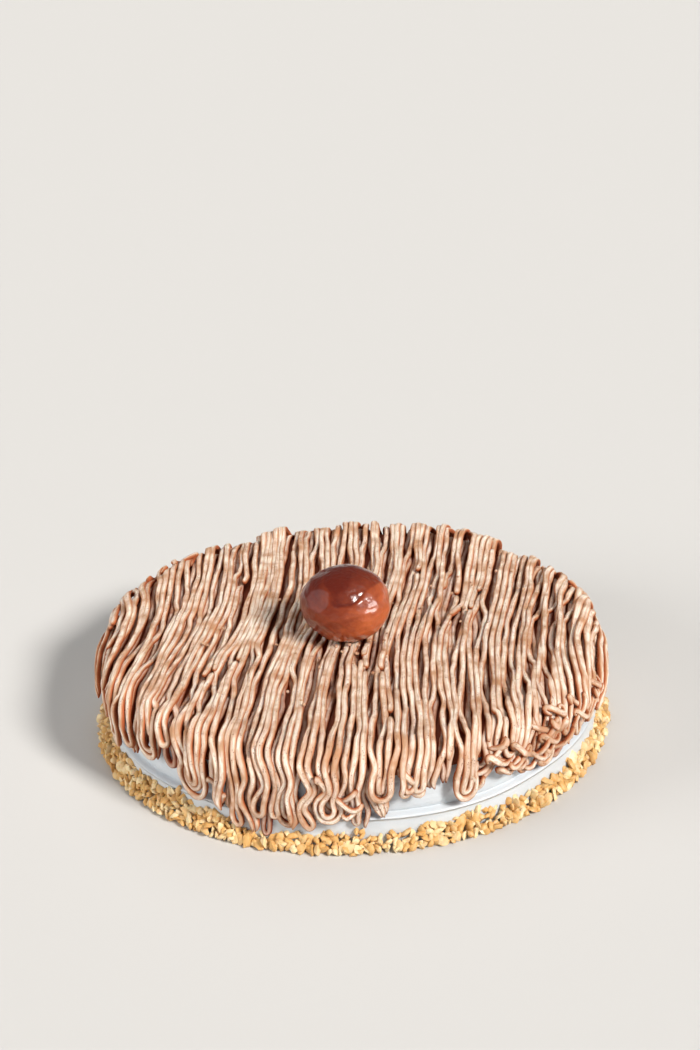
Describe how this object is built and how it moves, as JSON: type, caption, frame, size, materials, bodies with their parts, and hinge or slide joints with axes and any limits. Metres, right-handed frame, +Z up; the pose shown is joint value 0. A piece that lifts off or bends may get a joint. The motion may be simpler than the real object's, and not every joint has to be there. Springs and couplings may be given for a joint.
{
  "type": "chestnut cake",
  "caption": "Whole round chestnut cake: whipped cream side with chopped nuts round the foot, piped chestnut cream strands over the top and a candied chestnut.",
  "frame": {"origin": "on the table under the middle of the cake", "axes": "+Z up out of the cake's top, Y along the piped strands, with -Y at the front where the longest strands hang"},
  "size_m": [0.2075, 0.2087, 0.071],
  "materials": {
    "whipped_cream": "whipped cream with chopped toasted nuts; matte plastic stands in for food",
    "chestnut_cream": "piped chestnut cream; matte plastic stands in for food",
    "candied_chestnut": "sugar glaze; gloss plastic stands in for food"
  },
  "bodies": {
    "root": {"cream_cake": "whipped_cream", "chestnut_strands": "chestnut_cream", "candied_chestnut": "candied_chestnut"}
  },
  "joints": []
}
